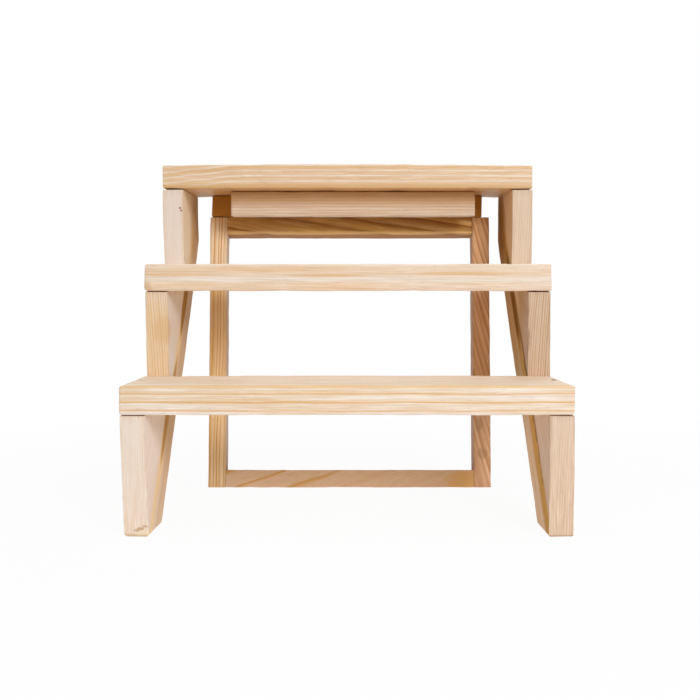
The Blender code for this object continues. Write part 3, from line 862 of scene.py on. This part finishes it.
# %% Make the side boards
for (side, look), sign in zip(STRINGERS.items(), (-1, 1)):
    low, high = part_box(f"{side}_stringer")
    finish = pine(
        f"{side}_stringer_pine", heart=(low.x + HEART_FAR * sign, front + FOOT_DEPTH, 0), grain=board_way,
        drift=((-0.04, 0.0), (0.36, 0.009)), year_edge=0.2, season=(0.3, 0.8, 0.95), sway=0.12 * MM,
        streaks=stains_at(MID_BOARD[side], THROUGH, look["through"]),
        flats=stains_at(INNER_FACE[side], SKIN, look["face"]),
        shine=0.0, uneven=0.9, plain=ALONG_X, spread=16.0, rim=0.3, seed=4.0 + sign, **look["pine"],
    )
    shape = sawn_outline(outline, low.x, high.x)
    ease(shape, look["foot"], [edge for edge in shape.edges if max(end.co.z for end in edge.verts) < 1e-6])
    hem(shape, ALONG_X)
    cut_across(shape, 2)
    cut_across(shape, 1)
    if look["chip"]:
        cut_at(shape, 2, [look["chip"][0].z + offset * MM for offset in range(-11, 12, 2)])
    ease(shape)
    if look["chip"]:
        chip(shape, *look["chip"])
    open_seats(shape)
    bow(shape, look["bow"])
    lean(shape, look["lean"])
    age(shape, seed=4 + sign)
    dress(shape, f"{side}_stringer", finish)

# %% [markdown]
# ## Batten and rear rail
# Two strips are screwed up under the top tread. The batten stiffens it and stops short of the side boards;
# the rear rail carries the leg frame, and its front face is painted dark brown, as painted shade behind the
# batten.
# Both are plain sticks, so easing, worn upper edges, pockets for the screws and a fine level grain are all
# that they need, besides painted shade along the batten's upper part, under the top tread.

# %% Make the strips under the top tread
SCREW_POCKET = (3.5 * MM, 0.5 * MM)
STRIP_WEAR = 0.9 * MM
WORN_TOP = 1.5 * MM
STRIP_HEART = Vector((0, 0.01, -0.06))  # from a strip's low corner
STRIPS = {
    "batten": {
        "year_width": 0.0027, "early": (0.865, 0.71, 0.55), "late": (0.65, 0.42, 0.23),
        "marks": (
            ((0.0494, 0.0674, 0.2346), 0.001, (0.42, 0.4, 0.4), 0.6),
            # Painted shade: the batten darkens towards its top, as the top tread's shadow
            ((0, 0.0671, 0.2525), (1.0, 0.05, 0.017), (0.67, 0.355, 0.11), 0.58),
        ),
    },
    "rear_rail": {
        "year_width": 0.003, "early": (0.82, 0.55, 0.29), "late": (0.6, 0.32, 0.11),
        # Painted shade: the front face is toned dark brown, as the shade behind the batten
        "painted_shade_face": (-ALONG_Y, (0.47, 0.2, 0.022), 0.92), "shine": 0.05,
    },
}
for number, (node, look) in enumerate(STRIPS.items()):
    low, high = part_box(node)
    finish = pine(
        f"{node}_pine", heart=low + STRIP_HEART, grain=ALONG_X, year_edge=0.05, season=(0.35, 0.85, 0.92),
        boldness=((-1, 0.75), (1, 0.75)), sway=0.9 * MM, fleck=1.5, uneven=1.0, seed=6.0 + number, **look,
    )
    shape = sawn_box(low, high)
    top_edges = [edge for edge in shape.edges if min(end.co.z for end in edge.verts) > high.z - 1e-6]
    ease(shape, WORN_TOP, top_edges)
    hem(shape, ALONG_X, ALONG_Y, UP)
    cut_across(shape, 0)
    ease(shape)
    for side in SIDES:
        screw_low, screw_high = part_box(f"{node}_screw_{side}")
        middle = (screw_low + screw_high) / 2
        sink(shape, Vector((middle.x, middle.y, low.z)), -UP, *SCREW_POCKET)
    age(shape, 6.0 + number, STRIP_WEAR)
    soften(shape)
    dress(shape, node, finish)

# %% [markdown]
# ## Leg frame
# Four sticks nailed at the corners hang from the rear rail and lean forward to the floor. Each came from a
# different offcut: the left stile has wavy upright stripes, the right one and the top rail were sawn askew,
# so that their years run out at a slant, and the bottom rail is plain but for a few golden lines and a patch
# at its right end. The rails butt tight, and the frame is a touch wider at its top than at its foot.

# %% Set out the leg frame
LEG_LEAN = math.radians(12.0)
LEG_UP = Vector((0, math.sin(LEG_LEAN), math.cos(LEG_LEAN)))
LEG_BACK = Vector((0, math.cos(LEG_LEAN), -math.sin(LEG_LEAN)))
BUTT = 0.25 * MM  # the rails' ends are left sharp, and butt tight against the stiles
EASED_LEG = 0.5 * MM
SPLAY = 0.018
axis_place = Vector(frame["record"]["behaviour"]["joints"][0]["pos_m"])
low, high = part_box("leg_left_stile")
level_depth = (high.y - low.y) - (high.z - low.z) * math.tan(LEG_LEAN)
strip_depth = level_depth * math.cos(LEG_LEAN)
square_depth = strip_depth * math.cos(LEG_LEAN)
square_drop = strip_depth * math.sin(LEG_LEAN)


def leaning(low, high, square_foot, square_head):
    """The outline of a leaning strip whose ends are level or square to its faces."""
    deep, drop = (square_depth, square_drop) if square_foot else (level_depth, 0.0)
    foot = [(low.y, low.z + drop), (low.y + deep, low.z)]
    deep, drop = (square_depth, square_drop) if square_head else (level_depth, 0.0)
    head = [(high.y, high.z - drop), (high.y - deep, high.z)]
    return foot + head


def splay(shape):
    """Widen the leg frame towards its top and narrow it towards its foot."""
    for point in shape.verts:
        share = 2 * point.co.z / axis_place.z - 1
        point.co.x += (point.co.x - axis_place.x) * SPLAY * share


def long_edges(shape):
    """The sharp edges of a rail along its length, without those of its ends."""
    sharp = [edge for edge in shape.edges if edge.calc_face_angle(0.0) > SHARP]
    return [edge for edge in sharp if abs((edge.verts[0].co - edge.verts[1].co).normalized().x) > 0.9]


print(f"leg strips: {strip_depth / MM:.1f} mm deep")

# %% Describe the leg frame's strips
LEG_PINE = {"year_edge": 0.05, "rim": 0.6, "uneven": 1.1, "shine": 0.12}
LEG_HEARTS = {"stile": Vector((0.08, 0, 0)), "rail": Vector((0, 0, -0.08))}  # from a strip's low corner
LEG_STRIPS = {
    "leg_left_stile": {
        "grain": LEG_UP, "year_width": 0.0031, "sway": 1.7 * MM, "season": (0.5, 0.88, 0.94),
        "early": (0.98, 0.74, 0.46), "late": (0.69, 0.325, 0.06), "tone": 0.4,
        # Painted shade: the inner side face is toned mauve grey, as it looks in shade
        "painted_shade_face": (ALONG_X, (0.62, 0.47, 0.4), 0.85),
        # Painted shadow of the middle tread: darker about halfway up the stile
        "marks": (((-0.1125, 0.09, 0.125), (0.03, 0.05, 0.06), (0.6, 0.31, 0.09), 0.22),),
        # Painted light: lighter at the top of the stile, above that shadow
        "streaks": (((0.224, 0, 0), (0.05, 1.0, 1.0), (0.98, 0.8, 0.55), 0.72),),
    },
    "leg_right_stile": {
        "grain": LEG_UP - 0.25 * ALONG_X, "year_width": 0.0042, "sway": 3.6 * MM, "tone": 0.44,
        "season": (0.2, 0.86, 0.96), "early": (0.82, 0.47, 0.235), "late": (0.48, 0.175, 0.04),
        "boldness": ((-0.02, 0.38), (0.07, 0.48), (0.115, 0.72), (0.175, 0.7), (0.21, 0.55), (0.3, 0.55)),
        # Painted shade: the inner side face is toned mauve grey, as it looks in shade
        "painted_shade_face": (-ALONG_X, (0.5, 0.34, 0.27), 0.75),
        "marks": (
            ((0.112, 0.067, 0.052), (0.004, 0.03, 0.007), (0.4, 0.22, 0.11), 0.45),
            ((0.1175, 0.071, 0.066), (0.004, 0.03, 0.006), (0.4, 0.22, 0.11), 0.4),
            ((0.114, 0.064, 0.028), (0.006, 0.03, 0.005), (0.4, 0.22, 0.11), 0.4),
        ),
        "streaks": (
            # Painted light: lighter at the top of the stile, above the middle tread's shadow; the next row
            # makes it lighter near its foot
            ((0.237, 0, 0), (0.06, 1.0, 1.0), (0.98, 0.6, 0.3), 0.9),
            ((0.045, 0, 0), (0.06, 1.0, 1.0), (0.9, 0.59, 0.37), 0.45),
        ),
    },
    "leg_top_rail": {
        "grain": ALONG_X - 0.16 * UP, "year_width": 0.0105, "sway": 2.6 * MM, "season": (0.35, 0.8, 0.94),
        "early": (0.9, 0.53, 0.165), "late": (0.43, 0.18, 0.027), "tone": 0.3,
        "marks": (
            # Painted shade: the rail's underside is toned purple brown, as it lies in shade
            ((0, 0.116, 0.2125), (1.0, 0.013, 0.0052), (0.4, 0.19, 0.08), 0.9),
            # Painted light: a brighter golden band along the lower front edge, where the rail is lit
            ((0, 0.1046, 0.2174), (1.0, 0.003, 0.0014), (0.88, 0.58, 0.24), 0.7),
        ),
    },
    "leg_bottom_rail": {
        "grain": ALONG_X + 0.34 * UP, "year_width": 0.0178, "year_edge": 0.0584, "sway": 4.5 * MM,
        "season": (0.72, 0.93, 0.965), "rim": 1.0, "tone": 0.1, "fleck": 0.2,
        "boldness": ((-0.05, 1.0), (0.1, 1.0), (0.135, 0.1), (0.3, 0.1)),
        "early": (0.845, 0.585, 0.405), "late": (0.77, 0.43, 0.12),
        "marks": (((0.108, 0.058, 0.002), (0.031, 0.03, 0.015), (0.8, 0.43, 0.14), 0.85),),
    },
}
print("leg strips:", ", ".join(LEG_STRIPS))

# %% Make the leg frame
for number, (node, look) in enumerate(LEG_STRIPS.items()):
    low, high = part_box(node)
    _, place, kind = node.split("_")
    heart = low + LEG_HEARTS[kind]
    finish = pine(f"{node}_pine", heart=heart, seed=10.0 + number, **{**LEG_PINE, **look})
    butt = BUTT if kind == "rail" else 0.0
    ends = leaning(low, high, square_foot=place == "top", square_head=place == "bottom")
    shape = sawn_outline(ends, low.x - butt, high.x + butt)
    hem(shape, ALONG_X, LEG_BACK)
    cut_across(shape, 0 if kind == "rail" else 2)
    ease(shape, EASED_LEG, long_edges(shape) if kind == "rail" else None)
    if kind == "stile":
        out = -ALONG_X if place == "left" else ALONG_X
        for level in ("top", "bottom"):
            nail_low, nail_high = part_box(f"leg_{level}_nail_{place}")
            middle = (nail_low + nail_high) / 2
            middle.x = low.x if out.x < 0 else high.x
            sink(shape, middle, out, *NAIL_POCKET)
    age(shape, seed=10 + number)
    splay(shape)
    soften(shape)
    dress(shape, node, finish)

# %% [markdown]
# ## Nails, screws and hinges
# The steel is small and mostly out of sight. Nails and screws are turned from a half section, with a slot cut
# over each screw's head. A hinge leaf is a plate whose edge is rolled round the pin, so its knuckles are
# drawn as an open curl; a plain tube would lack the seam that shows on every rolled hinge.


# %% Make the steel finishes
def steel(name, colour, roughness):
    """Plated or bright steel, clouded by handling."""
    made, principled, place = shader(name)
    cloud = mottle(place, (0.004, 0.004, 0.004), 3.0)
    grime = scaled(colour, 0.55)
    join(tint(smooth(cloud, 0.4, 0.7) * 0.5, colour, grime), principled, "Base Color")
    join(cloud * 0.22 + roughness, principled, "Roughness")
    bump = cloud.node("ShaderNodeBump", {}, {"Strength": 0.25, "Distance": 0.1 * MM, "Height": cloud})
    join(bump, principled, "Normal")
    principled.inputs["Metallic"].default_value = 1.0
    return made


hinge_zinc = steel("hinge_zinc", (0.62, 0.6, 0.55), 0.3)
screw_zinc = steel("screw_zinc", (0.66, 0.63, 0.52), 0.28)
nail_wire = steel("nail_wire", (0.24, 0.21, 0.185), 0.45)
print("steel finishes ready")

# %% Turn a nail or a screw
TURN_STEPS = 24
SLOT_LIP = 0.85  # a slot's floor, as a share of its width
NAIL_HEAD = ((0, 0.05), (1.2, 0), (1.6, -0.15), (1.7, -0.4), (1.6, -0.75), (0.9, -0.95))
SCREW_HEAD = ((0, 0.1), (2.4, 0.05), (3.2, -0.1), (3.35, -0.35), (1.7, -2.5))


def turned(profile, head, out, slot=None):
    """A fastener from its half section, as (radius, height) points in mm from its head down to its tip.

    A slot is half its width, its depth and the height over which it is cut, in mm too.
    """
    shape = bmesh.new()
    points = [shape.verts.new((radius * MM, 0, height * MM)) for radius, height in profile]
    lines = [shape.edges.new(pair) for pair in zip(points, points[1:])]
    round_up = {"axis": (0, 0, 1), "cent": (0, 0, 0), "angle": 2 * math.pi, "steps": TURN_STEPS}
    bmesh.ops.spin(shape, geom=points + lines, use_merge=True, **round_up)
    bmesh.ops.remove_doubles(shape, verts=shape.verts, dist=1e-6)
    bmesh.ops.recalc_face_normals(shape, faces=shape.faces)
    for face in shape.faces:
        face.smooth = True
    if slot:
        half, depth, rim = (size * MM for size in slot)
        cut_at(shape, 0, (-half, -SLOT_LIP * half, SLOT_LIP * half, half))
        for point in shape.verts:
            if abs(point.co.x) < 0.9 * half and point.co.z > rim:
                point.co.z -= depth
    turn = Vector(out).to_track_quat("Z", "Y").to_matrix().to_4x4()
    bmesh.ops.transform(shape, matrix=Matrix.Translation(head) @ turn, verts=shape.verts)
    return shape


print(f"fasteners are turned in {TURN_STEPS} steps")

# %% Drive the nails and screws
SUNK = 0.22 * MM  # how far a screw's or a frame nail's head lies under the wood's face
PROUD = {"left": -0.12 * MM, "right": 0.55 * MM}  # how far a tread nail stands over it
DRIVEN = {f"{step}_tread_nail_{side}": UP for step in tread_boxes for side in SIDES}
for level in ("top", "bottom"):
    DRIVEN |= {f"leg_{level}_nail_left": -ALONG_X, f"leg_{level}_nail_right": ALONG_X}
DRIVEN |= {f"{strip}_screw_{side}": -UP for strip in STRIPS for side in SIDES}
for node, out in DRIVEN.items():
    low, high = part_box(node)
    length = abs((high - low).dot(out))
    head = (low + high) / 2 + out * (length / 2 + (PROUD[node.split("_")[-1]] if "tread" in node else -SUNK))
    deep = (length - 2 * SUNK) / MM
    if "nail" in node:
        shape = turned([*NAIL_HEAD, (0.9, 2.2 - deep), (0, -deep)], head, out)
        if node.startswith("leg"):
            splay(shape)
        dress(shape, node, nail_wire)
    else:
        shape = turned([*SCREW_HEAD, (1.6, 3.6 - deep), (0, -deep)], head, out, slot=(0.45, 0.7, -0.2))
        dress(shape, node, screw_zinc)

# %% Roll a hinge leaf
KNUCKLE = 2.2 * MM
BORE = 1.3 * MM
LEAF = (1.0 * MM, 10.5 * MM)  # thickness and width
LEAF_CORNER = 1.6 * MM
LEAF_EASED = 0.15 * MM
ROOT = 2.6 * MM  # where the flat of the leaf starts, clear of the other leaf's knuckle
CURL = math.radians(300)
CURL_STEPS = 24
LATE_BORE = 3  # steps by which the bore's curl starts later, where the plate runs into it
SKIN_GAP = 0.04 * MM  # keeps a curl's root just inside the plate


def leaf_shape(low_x, high_x, knuckles):
    """A leaf that stands up from the pin: a plate with rounded corners, and a curl for each knuckle."""
    thickness, width = LEAF
    inner, outer = -KNUCKLE, thickness - KNUCKLE
    shape = sawn_outline([(inner, ROOT), (outer, ROOT), (outer, width), (inner, width)], low_x, high_x)
    top_edges = [edge for edge in shape.edges if all(end.co.z > width - 1e-6 for end in edge.verts)]
    corners = [edge for edge in top_edges if abs(edge.verts[0].co.x - edge.verts[1].co.x) < 1e-6]
    ease(shape, LEAF_CORNER, corners)
    ease(shape, LEAF_EASED)
    turns = [math.pi + CURL * number / CURL_STEPS for number in range(CURL_STEPS + 1)]
    section = [(SKIN_GAP - KNUCKLE, ROOT + SKIN_GAP)]
    section += [(KNUCKLE * math.cos(turn), KNUCKLE * math.sin(turn)) for turn in turns]
    section += [(BORE * math.cos(turn), BORE * math.sin(turn)) for turn in reversed(turns[LATE_BORE:])]
    section.append((thickness - KNUCKLE - SKIN_GAP, ROOT + SKIN_GAP))
    for start, end in knuckles:
        others = set(shape.faces)
        sawn_outline(section, start, end, shape)
        for face in set(shape.faces) - others:
            face.smooth = abs(face.normal.x) < 0.5
    return shape


print(f"knuckles: {2 * KNUCKLE / MM:.1f} mm thick")

# %% Make the hinges
MIDDLE_KNUCKLE = 11.0 * MM
KNUCKLE_GAP = 0.3 * MM
SCREW_SPOTS = 8.0 * MM, 6.4 * MM  # along the leaf and out from the pin
DOME = ((0, 1.25), (0.7, 1.15), (1.3, 0.85), (1.75, 0.45), (1.95, 0.1), (1.1, 0.0), (1.0, -7.0), (0, -9.0))
PIN_HEAD = ((0, 0.0), (1.1, -0.1), (1.6, -0.45), (1.65, -0.9), (1.05, -1.0))
ways = {"fixed": Matrix.Identity(4), "moving": Matrix.Rotation(-LEG_LEAN, 4, "X") @ Matrix.Scale(-1, 4, UP)}
for side in SIDES:
    low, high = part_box(f"hinge_{side}_fixed_leaf")
    middle = (low.x + high.x) / 2
    half = (high.x - low.x) / 2
    inner = MIDDLE_KNUCKLE / 2
    outer = inner + KNUCKLE_GAP
    knuckles = {"fixed": [(-half, -outer), (outer, half)], "moving": [(-inner, inner)]}
    for kind, way in ways.items():
        put = Matrix.Translation((middle, axis_place.y, axis_place.z)) @ way
        shape = leaf_shape(-half, half, knuckles[kind])
        bmesh.ops.transform(shape, matrix=put, verts=shape.verts)
        bmesh.ops.recalc_face_normals(shape, faces=shape.faces)
        dress(shape, f"hinge_{side}_{kind}_leaf", hinge_zinc)
        out = (way.to_3x3() @ ALONG_Y).normalized()
        for number, end in ((1, -1), (2, 1)):
            seat = put @ Vector((end * SCREW_SPOTS[0], LEAF[0] - KNUCKLE, SCREW_SPOTS[1]))
            shape = turned(DOME, seat, out, slot=(0.3, 0.55, 0.3))
            dress(shape, f"hinge_{side}_{kind}_screw_{number}", screw_zinc)
    low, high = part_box(f"hinge_{side}_pin")
    length = (high.x - low.x) / MM
    head = Vector((high.x, axis_place.y, axis_place.z))
    shape = turned([*PIN_HEAD, (1.05, 0.4 - length), (0.7, -length), (0, -length)], head, ALONG_X)
    dress(shape, f"hinge_{side}_pin", hinge_zinc)

# %% [markdown]
# ## Sizes
# The looks must fill the same box as the parts they stand for: the parts' box is printed at the start, and
# the looks' box here.

# %% Measure and finish
low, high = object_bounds()
print("visual box:", [round(side / MM, 1) for side in high - low], "mm")
